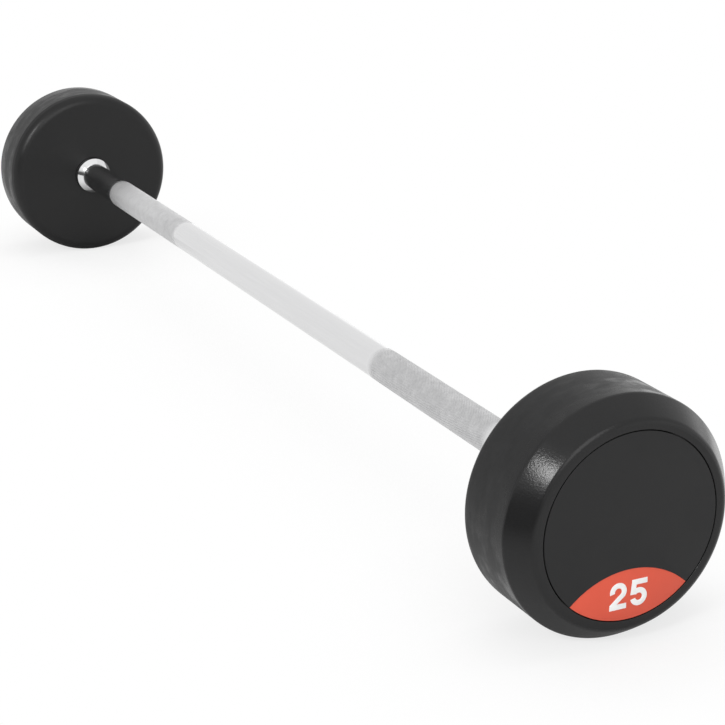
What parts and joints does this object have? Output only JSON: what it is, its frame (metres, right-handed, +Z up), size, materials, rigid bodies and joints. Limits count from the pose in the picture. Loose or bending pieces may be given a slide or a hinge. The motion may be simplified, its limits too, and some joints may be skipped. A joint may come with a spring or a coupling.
{
  "type": "fixed barbell",
  "caption": "Straight steel bar with knurled grips and a rubber-covered round iron head bolted on each end.",
  "frame": {"origin": "middle of the bar, on its axis", "axes": "+X along the bar towards the right head, +Z up, with the badge of each head at the bottom of its cap"},
  "size_m": [1.1528, 0.1738, 0.1738],
  "materials": {
    "bar_chrome": "satin",
    "collar_chrome": "polished",
    "black_rubber": "satin",
    "cap_black": "matte",
    "badge_red": "satin",
    "numeral_white": "satin",
    "cast_iron": "matte",
    "adhesive": "matte",
    "zinc_steel": "satin"
  },
  "bodies": {
    "root": {"bar": "bar_chrome", "right_rubber_cover": "black_rubber", "right_iron_core": "cast_iron", "right_collar": "collar_chrome", "right_end_cap": "cap_black", "right_cap_bond": "adhesive", "right_badge": "badge_red", "right_numeral_two": "numeral_white", "right_numeral_five": "numeral_white", "right_head_bolt": "zinc_steel", "right_plate_washer": "zinc_steel", "right_lock_washer": "zinc_steel", "right_roll_pin": "zinc_steel", "left_rubber_cover": "black_rubber", "left_iron_core": "cast_iron", "left_collar": "collar_chrome", "left_end_cap": "cap_black", "left_cap_bond": "adhesive", "left_badge": "badge_red", "left_numeral_two": "numeral_white", "left_numeral_five": "numeral_white", "left_head_bolt": "zinc_steel", "left_plate_washer": "zinc_steel", "left_lock_washer": "zinc_steel", "left_roll_pin": "zinc_steel"}
  },
  "joints": []
}
